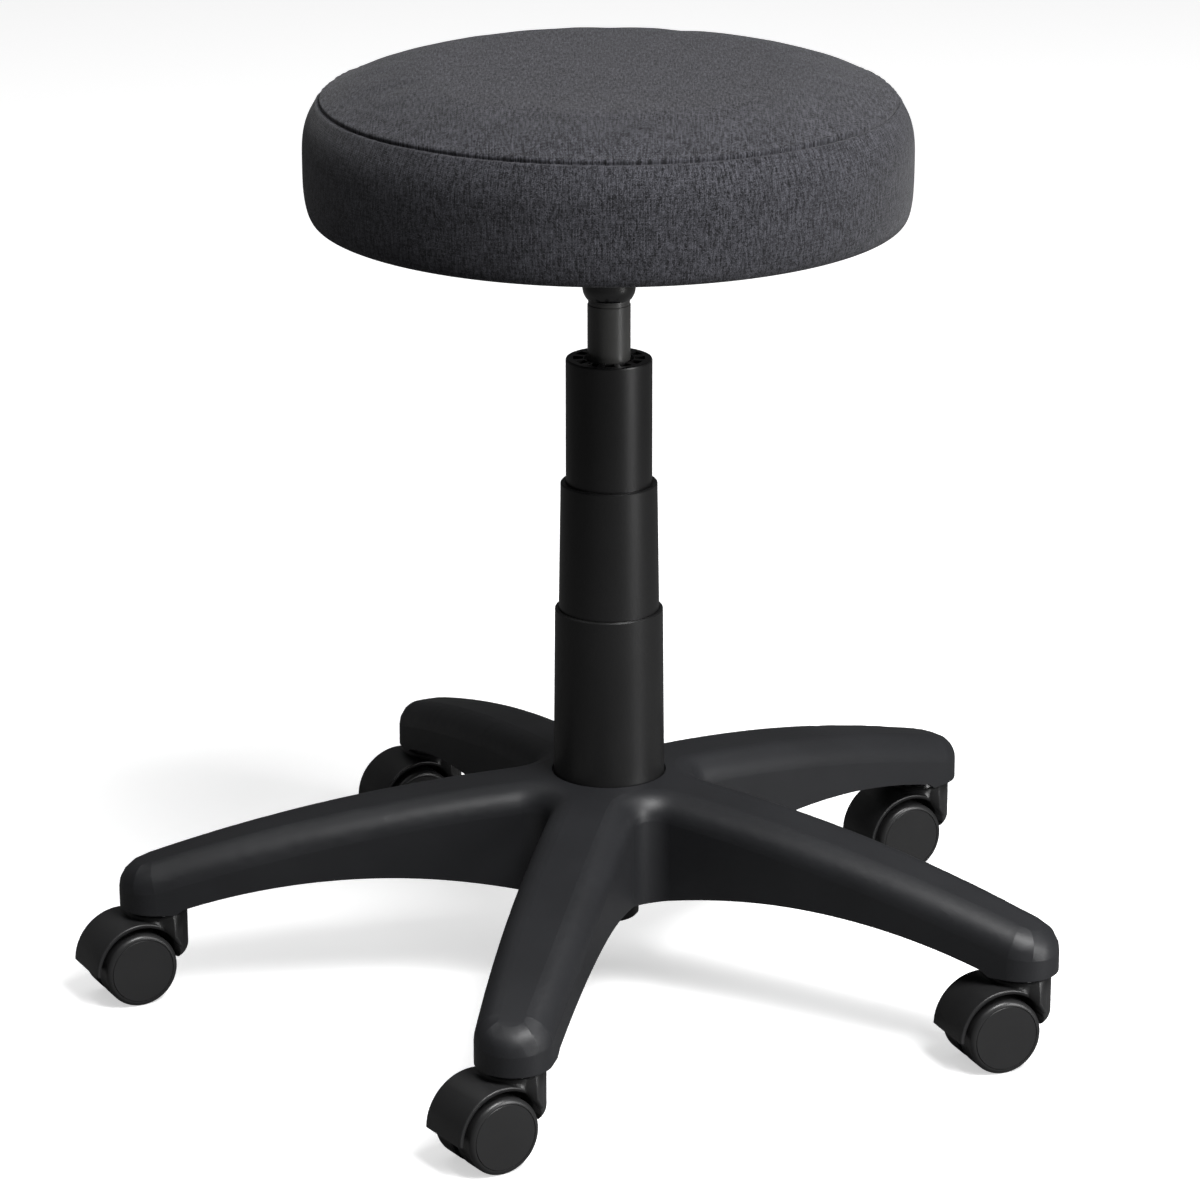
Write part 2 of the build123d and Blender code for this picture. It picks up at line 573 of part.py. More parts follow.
with BuildPart() as base_star:
    with BuildSketch(Plane.XY.offset(TUBE_BOTTOM)):
        add(star_plan(0))
    extrude(amount=HUB_TOP)
    with BuildSketch(Plane.XZ):
        with BuildLine():
            root, end = arm_top(0)
            Polyline(root, (37.2, HUB_TOP), (0, HUB_TOP), (0, HUB_BOTTOM), (ARCH_START, HUB_BOTTOM))
            ThreePointArc((ARCH_START, HUB_BOTTOM), (168, ARCH_TOP), (ARCH_END, HUB_BOTTOM + 0.5))
            Polyline((ARCH_END, HUB_BOTTOM + 0.5), (ARCH_END + 6, TIP_BOTTOM), (end[0], TIP_BOTTOM), end)
        make_face()
    revolve(axis=Axis.Z, mode=Mode.INTERSECT)
    rims = base_star.edges().filter_by(lambda e: e.geom_type != GeomType.LINE and axis_distance(e) > 57)
    fillet(rims.filter_by(lambda e: e.center().Z > 88), TOP_FILLET)
    add(arm_core.part, mode=Mode.SUBTRACT)
    turned((0, HUB_BOTTOM - 1), (HUB_TAPER_R + FIT - 0.02, HUB_BOTTOM - 1), (TUBE_R + FIT, HUB_TOP),
           (TUBE_R + FIT, HUB_TOP + 2), (0, HUB_TOP + 2), mode=Mode.SUBTRACT)
    with BuildSketch(Plane.XY.offset(TIP_BOTTOM)):
        with PolarLocations(CASTER_R, ARMS, start_angle=FIRST_ARM):
            Circle(SOCKET_R)
    extrude(amount=SOCKET_TOP - TIP_BOTTOM, mode=Mode.SUBTRACT)
save(base_star, "base_star")

with BuildPart() as hub_ring:
    turned((HUB_BOSS_R + FIT, HUB_BOTTOM + 1), (HUB_BOSS_R + 3, HUB_BOTTOM + 1),
           (HUB_BOSS_R + 3, HUB_BOTTOM + 14), (HUB_BOSS_R + FIT, HUB_BOTTOM + 14))
save(hub_ring, "hub_ring")

# ---------------------------------------------------------------- casters
RING_Z, RING_T = 78.0, 2.0
with BuildPart() as caster_grip_rings:
    with BuildSketch(Plane.XY.offset(RING_Z)):
        with PolarLocations(CASTER_R, ARMS, start_angle=FIRST_ARM):
            Circle(SOCKET_R - 0.02)
            Circle(STEM_R - 0.8, mode=Mode.SUBTRACT)
            with Locations((STEM_R, 0)):
                Rectangle(4, 1.6, mode=Mode.SUBTRACT)
    extrude(amount=RING_T)
save(caster_grip_rings, "caster_grip_rings")

STEM_BOTTOM, STEM_TOP = 51.0, 87.0
COLLAR_R = 11.0
with BuildPart() as stem:
    turned(
        (0, STEM_BOTTOM), (STEM_R, STEM_BOTTOM), (STEM_R, NECK_TOP + 0.1), (COLLAR_R, NECK_TOP + 0.1),
        (COLLAR_R, TIP_BOTTOM - GAP - 0.6), (COLLAR_R - 0.6, TIP_BOTTOM - GAP), (STEM_R, TIP_BOTTOM - GAP),
        (STEM_R, RING_Z - 0.3), (STEM_R - 0.9, RING_Z - 0.3), (STEM_R - 0.9, RING_Z + RING_T + 0.3),
        (STEM_R, RING_Z + RING_T + 0.3), (STEM_R, STEM_TOP - 2), (STEM_R - 2, STEM_TOP), (0, STEM_TOP),
    )

LIP_ANGLE = 0.5           # end of the hood's shell, measured at the axle
lip = (TRAIL + HOOD_R * cos(radians(LIP_ANGLE)), WHEEL_R + HOOD_R * sin(radians(LIP_ANGLE)))
with BuildPart() as hood:
    with BuildSketch(Plane.XZ):
        with Locations((TRAIL, WHEEL_R)):
            Circle(HOOD_R)
        with BuildLine():
            Polyline(lip, (TRAIL, WHEEL_R), (-TRAIL, WHEEL_R), (-TRAIL, -HOOD_R),
                     (2 * HOOD_R, -HOOD_R), (2 * HOOD_R, lip[1]), lip)
        make_face(mode=Mode.SUBTRACT)
    extrude(amount=HOOD_HALF, both=True)
    flanks = hood.edges().filter_by(GeomType.CIRCLE).group_by(Axis.Y)
    fillet(flanks[0] + flanks[-1], 1.0)
    with BuildSketch(Plane.XZ):
        with BuildLine():
            Line((0, NECK_TOP), (0, WHEEL_R))
            Line((0, WHEEL_R), (10 - CASTER_BOSS_R, WHEEL_R))
            ThreePointArc((10 - CASTER_BOSS_R, WHEEL_R), (2.9 - CASTER_BOSS_R, WHEEL_R + 2.9),
                          (-CASTER_BOSS_R, WHEEL_R + 10))
            Line((-CASTER_BOSS_R, WHEEL_R + 10), (-CASTER_BOSS_R, NECK_TOP - 1))
            Line((-CASTER_BOSS_R, NECK_TOP - 1), (1 - CASTER_BOSS_R, NECK_TOP))
            Line((1 - CASTER_BOSS_R, NECK_TOP), (0, NECK_TOP))
        make_face()
    revolve(axis=Axis.Z)
    with BuildSketch(Plane.XZ.offset(WEB_HALF), Plane.XZ.offset(-WEB_HALF - 30)):
        with Locations((TRAIL, WHEEL_R)):
            Circle(POCKET_R)
    extrude(amount=30, mode=Mode.SUBTRACT)
    with BuildSketch(Plane.XZ):
        with Locations((TRAIL, WHEEL_R)):
            Circle(2.2 * AXLE_R)
    extrude(amount=WEB_HALF, both=True)
    with BuildSketch(Plane.XZ):
        with Locations((TRAIL, WHEEL_R)):
            Circle(AXLE_R + FIT)
    extrude(amount=WEB_HALF, both=True, mode=Mode.SUBTRACT)
    with BuildSketch(Plane.XY.offset(STEM_BOTTOM - 0.1)):
        Circle(STEM_R + FIT)
    extrude(amount=20, mode=Mode.SUBTRACT)

AXLE_HALF = WHEEL_OUT - 3.4
RIM_T = 3.5               # thickness of a wheel's rim and face
RIM_ROUND = 3.2           # rounded edge between tread and face
with BuildPart() as axle:
    with BuildSketch(Plane.XZ):
        with Locations((TRAIL, WHEEL_R)):
            Circle(AXLE_R)
    extrude(amount=AXLE_HALF, both=True)
    chamfer(axle.edges().filter_by(GeomType.CIRCLE), 0.5)

GROOVE_R = 0.86 * WHEEL_R
with BuildPart() as wheel:
    with BuildSketch(Plane.XY):
        with BuildLine():
            Polyline(
                (0, AXLE_HALF + 0.4), (AXLE_R + FIT, AXLE_HALF + 0.4), (AXLE_R + FIT, WHEEL_IN),
                (7.5, WHEEL_IN), (7.5, WHEEL_OUT - RIM_T), (WHEEL_R - RIM_T, WHEEL_OUT - RIM_T),
                (WHEEL_R - RIM_T, WHEEL_IN), (WHEEL_R - 1, WHEEL_IN), (WHEEL_R, WHEEL_IN + 1),
                (WHEEL_R, WHEEL_OUT - RIM_ROUND),
            )
            ThreePointArc((WHEEL_R, WHEEL_OUT - RIM_ROUND), (WHEEL_R - 0.94, WHEEL_OUT - 0.94),
                          (WHEEL_R - RIM_ROUND, WHEEL_OUT))
            Polyline((WHEEL_R - RIM_ROUND, WHEEL_OUT), (GROOVE_R + 0.2, WHEEL_OUT),
                     (GROOVE_R, WHEEL_OUT - 0.5),
                     (GROOVE_R - 0.4, WHEEL_OUT), (0, WHEEL_OUT), (0, AXLE_HALF + 0.4))
        make_face()
    revolve(axis=Axis.Y)

for number, heading in enumerate(CASTER_HEADINGS, start=1):
    socket = upright(FIRST_ARM + (number - 1) * 360 / ARMS, CASTER_R)
    forward = (cos(radians(heading)), sin(radians(heading)), 0)
    place = Plane(origin=socket.origin, x_dir=forward, z_dir=(0, 0, 1))
    hub_centre = Plane(place.location * Location((TRAIL, 0, WHEEL_R)))
    for piece, name in ((stem, "stem"), (hood, "hood"), (axle, "axle")):
        with BuildPart() as placed:
            with Locations(place):
                add(piece.part)
        save(placed, f"caster_{number}_{name}")
    with BuildPart() as wheel_left:
        with Locations(hub_centre):
            add(wheel.part)
    save(wheel_left, f"caster_{number}_wheel_left")
    with BuildPart() as wheel_right:
        with Locations(hub_centre.rotated((0, 0, 180))):
            add(wheel.part)
    save(wheel_right, f"caster_{number}_wheel_right")
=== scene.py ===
import json
import math

import bmesh
import bpy
import numpy as np
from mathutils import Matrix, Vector
from mathutils.bvhtree import BVHTree


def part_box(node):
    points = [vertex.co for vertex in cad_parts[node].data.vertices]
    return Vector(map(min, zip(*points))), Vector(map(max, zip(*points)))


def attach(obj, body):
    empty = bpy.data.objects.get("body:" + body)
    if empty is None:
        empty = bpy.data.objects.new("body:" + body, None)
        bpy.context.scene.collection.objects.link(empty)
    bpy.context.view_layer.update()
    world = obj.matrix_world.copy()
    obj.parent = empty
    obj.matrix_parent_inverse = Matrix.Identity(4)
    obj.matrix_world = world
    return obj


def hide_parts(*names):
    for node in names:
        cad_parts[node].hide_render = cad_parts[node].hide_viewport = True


# Looks of the height-adjustable swivel stool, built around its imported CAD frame. Metres, +Z up.
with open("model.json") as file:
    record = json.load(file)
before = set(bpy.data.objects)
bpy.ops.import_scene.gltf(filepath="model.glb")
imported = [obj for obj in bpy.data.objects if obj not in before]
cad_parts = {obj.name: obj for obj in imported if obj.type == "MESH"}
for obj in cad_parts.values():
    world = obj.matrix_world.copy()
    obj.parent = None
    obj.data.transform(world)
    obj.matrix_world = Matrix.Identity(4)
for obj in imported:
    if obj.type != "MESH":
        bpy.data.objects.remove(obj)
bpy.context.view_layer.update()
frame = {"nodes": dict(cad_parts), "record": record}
NODES = frame["nodes"]
MM = 0.001

# ---------------------------------------------------------------- camera and lights
CAMERA_PLACE = (0.0, -2.9815, 1.2518)
CAMERA_PITCH = math.radians(18.366)
CAMERA_YAW = math.radians(0.105)
CAMERA_ROLL = math.radians(0.025)
LENS, SENSOR_WIDTH = 143.32, 36.0     # millimetres
CLIP_NEAR, CLIP_FAR = 0.05, 60.0
LIGHTS = (                # name, place, target, (width, height), watts
    ("overhead", (0.0, 0.0, 4.2), (0, 0, 0.3), (6.0, 6.0), 85.0),
    ("key", (1.16, -1.48, 2.94), (0, 0, 0.35), (1.4, 1.4), 112.0),
    ("right_strip", (2.2, -1.2, 0.8), (0, 0, 0.4), (0.7, 1.8), 44.0),
)


def make_camera():
    """The photograph's viewpoint: three metres in front of the column, looking slightly down."""
    data = bpy.data.cameras.new("camera")
    data.lens = LENS
    data.sensor_width = SENSOR_WIDTH
    data.clip_start, data.clip_end = CLIP_NEAR, CLIP_FAR
    camera = bpy.data.objects.new("camera", data)
    camera.location = CAMERA_PLACE
    camera.rotation_euler = (math.pi / 2 - CAMERA_PITCH, CAMERA_ROLL, CAMERA_YAW)
    bpy.context.scene.collection.objects.link(camera)
    bpy.context.scene.camera = camera


def softbox(name, place, target, size, power):
    """A rectangular soft light at place, facing target; size is (width, height)."""
    data = bpy.data.lights.new(name, "AREA")
    data.shape = "RECTANGLE"
    data.size, data.size_y = size
    data.energy = power
    data.spread = math.pi
    light = bpy.data.objects.new(name, data)
    light.location = place
    aim = Vector(target) - Vector(place)
    light.rotation_euler = aim.to_track_quat("-Z", "Y").to_euler()
    bpy.context.scene.collection.objects.link(light)


# ---------------------------------------------------------------- mesh helpers
def new_object(name, verts, faces, smooth=True):
    """A mesh object linked into the scene."""
    mesh = bpy.data.meshes.new(name)
    mesh.from_pydata([tuple(v) for v in verts], [], [tuple(f) for f in faces])
    mesh.validate()
    mesh.polygons.foreach_set("use_smooth", [smooth] * len(mesh.polygons))
    mesh.update()
    made = bpy.data.objects.new(name, mesh)
    bpy.context.scene.collection.objects.link(made)
    return made


def mesh_points(obj):
    """The vertices of a mesh as an array."""
    flat = np.empty(len(obj.data.vertices) * 3)
    obj.data.vertices.foreach_get("co", flat)
    return flat.reshape(-1, 3)


def smoothed(field, around, along):
    """A ring-by-segment field averaged over its neighbours."""
    for _ in range(around):
        field = 0.5 * field + 0.25 * (np.roll(field, 1, axis=1) + np.roll(field, -1, axis=1))
    for _ in range(along):
        padded = np.vstack([field[:1], field, field[-1:]])
        field = 0.5 * field + 0.25 * (padded[:-2] + padded[2:])
    return field


# ---------------------------------------------------------------- shader helpers
def material(name):
    """A new node material and its principled shader."""
    made = bpy.data.materials.new(name)
    made.use_nodes = True
    return made, made.node_tree, made.node_tree.nodes["Principled BSDF"]


def feed(tree, made, inputs):
    """Links sockets to a node's inputs, or sets values on them."""
    for key, value in inputs.items():
        if isinstance(value, bpy.types.NodeSocket):
            tree.links.new(value, made.inputs[key])
        else:
            made.inputs[key].default_value = value


def node(tree, kind, inputs=None, **settings):
    """A shader node with its settings; inputs are sockets to link or values to set."""
    made = tree.nodes.new(kind)
    for key, value in settings.items():
        setattr(made, key, value)
    feed(tree, made, inputs or {})
    return made


def maths(tree, operation, a, b=0.0, clamp=False):
    """The output of one math node."""
    made = node(tree, "ShaderNodeMath", {0: a, 1: b}, operation=operation, use_clamp=clamp)
    return made.outputs[0]


def spread_to(tree, value, low, high, from_low=0.0, from_high=1.0):
    """A value mapped from one range to another."""
    ranges = {"Value": value, "From Min": from_low, "From Max": from_high,
              "To Min": low, "To Max": high}
    return node(tree, "ShaderNodeMapRange", ranges).outputs[0]


def noise(tree, coordinates, scale, detail=2.0, rough=0.5):
    """A noise factor at that many cells per metre."""
    look = {"Vector": coordinates, "Scale": scale, "Detail": detail, "Roughness": rough}
    return node(tree, "ShaderNodeTexNoise", look).outputs["Fac"]


def cell_distance(tree, coordinates, scale):
    """Distance to the nearest of many scattered points, at that many cells per metre."""
    cells = node(tree, "ShaderNodeTexVoronoi", {"Vector": coordinates, "Scale": scale})
    return cells.outputs["Distance"]


def stretched(tree, coordinates, scale):
    """Coordinates scaled by its own amount along each axis."""
    return node(tree, "ShaderNodeMapping", {"Vector": coordinates, "Scale": scale}).outputs[0]


def object_place(tree):
    """Places on the piece itself, in metres."""
    return node(tree, "ShaderNodeTexCoord").outputs["Object"]


def blend(tree, factor, first, second):
    """Two values mixed by a factor socket."""
    return node(tree, "ShaderNodeMix", {"Factor": factor, "A": first, "B": second},
                data_type="FLOAT").outputs[0]


def blend_colours(tree, factor, first, second):
    """Two colours mixed by a factor socket."""
    made = node(tree, "ShaderNodeMix", data_type="RGBA")
    tree.links.new(factor, made.inputs["Factor"])
    for socket, colour in (("A", first), ("B", second)):
        target = [s for s in made.inputs if s.name == socket and s.type == "RGBA"][0]
        if isinstance(colour, bpy.types.NodeSocket):
            tree.links.new(colour, target)
        else:
            target.default_value = (*colour, 1.0)
    return [s for s in made.outputs if s.type == "RGBA"][0]


def raise_surface(tree, shader, height, strength, distance):
    """Bumps a shader's surface by a height socket; distance is in metres."""
    bump = node(tree, "ShaderNodeBump",
                {"Strength": strength, "Distance": distance, "Height": height})
    tree.links.new(bump.outputs[0], shader.inputs["Normal"])


def shade(colour, factor):
    """A colour made lighter or darker."""
    return tuple(min(1.0, c * factor) for c in colour)


# ---------------------------------------------------------------- materials
PLASTIC_IOR = 1.49
GRAIN_SHIFT = 0.06        # how far the grain shifts a plastic's roughness
FLOW_CELLS = 14.0         # flow clouds per metre of plastic
PEEL_CELLS, DUST_CELLS = 420.0, 60.0
COAT_ROUGHNESS = 0.08
TURNING_CELLS = (40.0, 40.0, 2600.0)  # rings of turning, close together along the axis
MARK_CELLS = 35.0         # handling marks per metre of bare metal
SMUDGE = 0.12             # how far they shift its roughness
THREAD = 0.0009           # pitch of the yarns in the seat fabric
TWILL_REPEAT = 3.0        # threads from one diagonal to the next
WARP_SHARE = 0.62         # share of each repeat where the warp lies on top
FIBRE_STRETCH = 9.0       # a fibre mark is this much longer along its yarn than across it
WEFT_SHIFT = 7.0          # keeps the weft's fibre marks apart from the warp's
SLUB_CELLS = (520.0, 130.0, 1.0)
CLOUD_SHIFT, MELANGE_SHIFT = 0.07, 0.30
WOOD_CELLS = (9.0, 160.0, 160.0)      # grain, long along X


def moulded_plastic(name, colour, roughness, grain, depth, mottle=0.15):
    """Injection-moulded plastic: spark-eroded grain and faint flow clouds."""
    made, tree, shader = material(name)
    place = object_place(tree)
    fine = noise(tree, place, grain, detail=3.0, rough=0.6)
    cloud = noise(tree, place, FLOW_CELLS, detail=3.0, rough=0.55)
    tone = blend_colours(tree, spread_to(tree, cloud, 0.0, 1.0, 0.3, 0.7),
                         shade(colour, 1 - mottle), shade(colour, 1 + mottle))
    feed(tree, shader, {
        "Base Color": tone,
        "Roughness": spread_to(tree, fine, roughness - GRAIN_SHIFT, roughness + GRAIN_SHIFT),
        "IOR": PLASTIC_IOR,
    })
    raise_surface(tree, shader, fine, strength=0.5, distance=depth)
    return made


def painted_steel(name, colour, roughness, orange_peel=0.00005, coat=0.0):
    """Powder-coated or lacquered steel: low orange-peel ripple under the gloss."""
    made, tree, shader = material(name)
    place = object_place(tree)
    peel = noise(tree, place, PEEL_CELLS)
    dust = noise(tree, place, DUST_CELLS, detail=4.0, rough=0.65)
    feed(tree, shader, {
        "Base Color": blend_colours(tree, dust, shade(colour, 0.8), shade(colour, 1.25)),
        "Roughness": spread_to(tree, dust, roughness - 0.05, roughness + 0.08),
        "Coat Weight": coat,
        "Coat Roughness": COAT_ROUGHNESS,
    })
    raise_surface(tree, shader, peel, strength=0.6, distance=orange_peel)
    return made


def bare_metal(name, colour, roughness, turned_rings):
    """Plated or drawn metal: fine rings from turning or drawing and faint handling marks."""
    made, tree, shader = material(name)
    place = object_place(tree)
    rings = noise(tree, stretched(tree, place, TURNING_CELLS), 1.0, detail=3.0, rough=0.6)
    marks = noise(tree, place, MARK_CELLS, detail=5.0, rough=0.6)
    smudged = spread_to(tree, marks, roughness - SMUDGE / 2, roughness + SMUDGE / 2, 0.3, 0.7)
    ringed = spread_to(tree, rings, -turned_rings, turned_rings)
    feed(tree, shader, {
        "Base Color": blend_colours(tree, spread_to(tree, marks, 0.0, 1.0, 0.35, 0.65),
                                    shade(colour, 0.9), shade(colour, 1.08)),
        "Roughness": maths(tree, "ADD", smudged, ringed, clamp=True),
        "Metallic": 1.0,
    })
    raise_surface(tree, shader, rings, strength=0.35, distance=0.00002)
    return made


def yarn_round(tree, threads):
    """The round of each yarn, from 0 between yarns to 1 on the crest."""
    return maths(tree, "ABSOLUTE", maths(tree, "SINE", maths(tree, "MULTIPLY", threads, math.pi)))


def twill_fabric(name, dark, light):
    """Melange twill from the cloth's own UVs in metres: diagonal floats, yarn by yarn colour, with
    painted light on the yarn crests and painted shade between the yarns.
    """
    made, tree, shader = material(name)
    uv = node(tree, "ShaderNodeUVMap", uv_map="cloth").outputs[0]
    axes = node(tree, "ShaderNodeSeparateXYZ", {0: uv})
    across = maths(tree, "DIVIDE", axes.outputs[0], THREAD)
    along = maths(tree, "DIVIDE", axes.outputs[1], THREAD)
    repeats = maths(tree, "DIVIDE", maths(tree, "SUBTRACT", across, along), TWILL_REPEAT)
    warp_up = maths(tree, "LESS_THAN", maths(tree, "FRACT", repeats), WARP_SHARE)
    height = blend(tree, warp_up, yarn_round(tree, along), yarn_round(tree, across))
    warp_place = node(tree, "ShaderNodeCombineXYZ",
                      {0: across, 1: maths(tree, "DIVIDE", along, FIBRE_STRETCH)}).outputs[0]
    weft_place = node(tree, "ShaderNodeCombineXYZ",
                      {0: maths(tree, "DIVIDE", across, FIBRE_STRETCH), 1: along,
                       2: WEFT_SHIFT}).outputs[0]
    fibre = blend(tree, warp_up, noise(tree, weft_place, 1.0, detail=2.0, rough=0.7),
                  noise(tree, warp_place, 1.0, detail=2.0, rough=0.7))
    cloud = noise(tree, uv, 45.0, detail=3.0, rough=0.6)
    slubs = noise(tree, stretched(tree, uv, SLUB_CELLS), 1.0, detail=2.0, rough=0.6)
    specks = noise(tree, uv, 420.0, detail=2.0, rough=0.7)
    melange = maths(tree, "MULTIPLY", 0.5, maths(tree, "ADD", specks, slubs))
    mottled = maths(tree, "ADD",
                    spread_to(tree, cloud, -CLOUD_SHIFT, CLOUD_SHIFT, 0.3, 0.7),
                    spread_to(tree, melange, -MELANGE_SHIFT, MELANGE_SHIFT, 0.35, 0.65))
    # Fibre flecks with their own random tone, scaled by the yarn's round: painted light on the
    # yarn crests and painted shade between the yarns.
    crest_lit_fibre = maths(tree, "MULTIPLY", spread_to(tree, fibre, 0.0, 1.0, 0.36, 0.64),
                  spread_to(tree, height, 0.35, 0.9))
    tone = maths(tree, "ADD", crest_lit_fibre, mottled, clamp=True)
    feed(tree, shader, {
        "Base Color": blend_colours(tree, tone, dark, light),
        "Roughness": 0.88,
        "Specular IOR Level": 0.25,
        "Sheen Weight": 0.12,
        "Sheen Roughness": 0.45,
    })
    lift = maths(tree, "ADD", height, maths(tree, "MULTIPLY", fibre, 0.6))
    raise_surface(tree, shader, lift, strength=0.55, distance=0.00022)
    return made


def nonwoven_cloth(name, colour):
    """Spun-bonded lining: tangled fibres and tiny bond points."""
    made, tree, shader = material(name)
    place = object_place(tree)
    bonds = cell_distance(tree, place, 700.0)
    fibres = noise(tree, place, 1500.0, detail=4.0, rough=0.7)
    feed(tree, shader, {
        "Base Color": blend_colours(tree, fibres, shade(colour, 0.6), shade(colour, 1.5)),
        "Roughness": 0.85,
    })
    raise_surface(tree, shader, maths(tree, "ADD", bonds, fibres), strength=0.5, distance=0.0001)
    return made


def plywood(name, pale, brown):
    """Birch plywood: grain along X on the faces, plies stacked in Z at the edge."""
    made, tree, shader = material(name)
    place = object_place(tree)
    grain = noise(tree, stretched(tree, place, WOOD_CELLS), 1.0, detail=5.0, rough=0.6)
    plies = node(tree, "ShaderNodeTexWave", {"Vector": place, "Scale": 105.0, "Distortion": 0.4},
                 bands_direction="Z").outputs["Fac"]
    tone = maths(tree, "ADD", maths(tree, "MULTIPLY", grain, 0.6),
                 maths(tree, "MULTIPLY", plies, 0.4))
    feed(tree, shader, {"Base Color": blend_colours(tree, tone, pale, brown), "Roughness": 0.7})
    raise_surface(tree, shader, grain, strength=0.3, distance=0.0001)
    return made


def cell_foam(name, colour):
    """Moulded polyurethane foam with open cells, their hollows painted darker as painted shade."""
    made, tree, shader = material(name)
    cells = cell_distance(tree, object_place(tree), 900.0)
    # The colour is darker where each cell's bump sinks: painted shade in the cell hollows.
    feed(tree, shader, {
        "Base Color": blend_colours(tree, cells, shade(colour, 0.75), colour),
        "Roughness": 0.95,
    })
    raise_surface(tree, shader, cells, strength=0.8, distance=0.0004)
    return made


FINISHES = {
    "seat_fabric": twill_fabric("charcoal_twill", dark=(0.0060, 0.0060, 0.0076),
                                light=(0.092, 0.092, 0.107)),
    "foam": cell_foam("pale_foam", (0.72, 0.66, 0.48)),
    "plywood": plywood("birch_plywood", pale=(0.60, 0.43, 0.25), brown=(0.42, 0.27, 0.13)),
    "dust_cloth": nonwoven_cloth("black_lining", (0.018, 0.018, 0.019)),
    "zinc_steel": bare_metal("zinc_plate", (0.60, 0.61, 0.63), 0.34, turned_rings=0.05),
    "black_steel": painted_steel("black_powder_coat", (0.012, 0.012, 0.013), 0.42),
    "gloss_steel": painted_steel("black_gloss_coat", (0.006, 0.006, 0.0065), 0.20,
                                 orange_peel=0.00002, coat=0.6),
    "gunmetal": painted_steel("gunmetal_coat", (0.065, 0.065, 0.063), 0.30,
                              orange_peel=0.00003, coat=0.35),
    "bright_steel": bare_metal("ground_steel", (0.66, 0.66, 0.67), 0.20, turned_rings=0.06),
    "base_nylon": moulded_plastic("black_nylon", (0.016, 0.0165, 0.0185), 0.46,
                                  grain=1500.0, depth=0.00012),
    "cover_plastic": moulded_plastic("satin_black", (0.0105, 0.0105, 0.0107), 0.36,
                                     grain=900.0, depth=0.00003),
    "caster_plastic": moulded_plastic("caster_black", (0.020, 0.020, 0.0205), 0.34,
                                      grain=700.0, depth=0.00003),
    "acetal": moulded_plastic("natural_acetal", (0.62, 0.61, 0.57), 0.36,
                              grain=500.0, depth=0.00003, mottle=0.05),
    "rubber": moulded_plastic("black_rubber", (0.018, 0.018, 0.018), 0.72,
                              grain=1200.0, depth=0.00008),
    "brass": bare_metal("turned_brass", (0.78, 0.58, 0.28), 0.26, turned_rings=0.08),
}

for piece in NODES.values():
    piece.material_slots[0].material = FINISHES[piece.data.materials[0].name]


# ---------------------------------------------------------------- padded seat
SEGMENTS = 384            # points round the seat
ANGLES = np.linspace(0, 2 * math.pi, SEGMENTS, endpoint=False)
ROUND = [(i, (i + 1) % SEGMENTS) for i in range(SEGMENTS)]  # each point and the one after it
RING_STEP = 4.0 * MM      # between rings on the flat parts
NEAR_SEAM = np.array([6.0, 4.4, 3.2, 2.3, 1.7, 1.25, 0.9, 0.6, 0.3]) * MM  # rings beside the seam
SIDE_RINGS, ROLL_RINGS = 12, 22
SEAM_INSET = 10.6 * MM    # the sewn edge lies this far inside the widest radius
SEAM_DROP = 16.5 * MM     # and this far below the crown
FLAT_SHARE = 0.79         # share of the top's radius before the shoulder starts to fall
BULGE_RISE = 38.9 * MM    # height of the widest radius above the underside
SIDE_POWER = 3.0          # how quickly the boxing swells out below the seam
ROLL_DEPTH = 9.0 * MM     # how far the lower edge rolls in
ROLL_POWER = 3.2          # how square that roll is
HEM_WIDTH = 36.0 * MM     # fabric turned under the board
CLOTH_THICK = 1.2 * MM
FOAM_GAP = 0.3 * MM       # between the cover and the foam
START_INSET = 2.6 * MM    # the simulated cover starts this much smaller
PUFF_LIMIT = 3.0 * MM
PRESSURE = 4.0
VOXEL = 5.0 * MM
HELD_ROUND = 5.0 * MM     # the simulated cover is held this far round its seam
HELD_RISE = 2.0 * MM      # and this far above its underside
CLOTH_STEPS, CLOTH_QUALITY = 20, 5
RELAX_FACTOR, RELAX_TURNS = 0.5, 6
SEARCH_REACH = 12.0 * MM
HEM_STILL, HEM_FADE = 12, 6           # rings at the hem that don't swell, and that fade in
CREASE_DEPTH, CREASE_WIDTH = 1.7 * MM, 0.85 * MM
LIP_RISE, LIP_REACH = 0.80 * MM, 2.6 * MM
PUCKER_SEED, PUCKERS = 11, ((128, 0.10), (96, 0.10), (61, 0.08), (23, 0.08), (7, 0.06))
WAVE_SEED, WAVES = 5, ((3, 0.35), (5, 0.28), (9, 0.20), (14, 0.12))
WAVE_HEIGHT = 0.8 * MM
WAVE_STILL, WAVE_FADE = 16, 10        # rings at the hem without waves, and that fade in


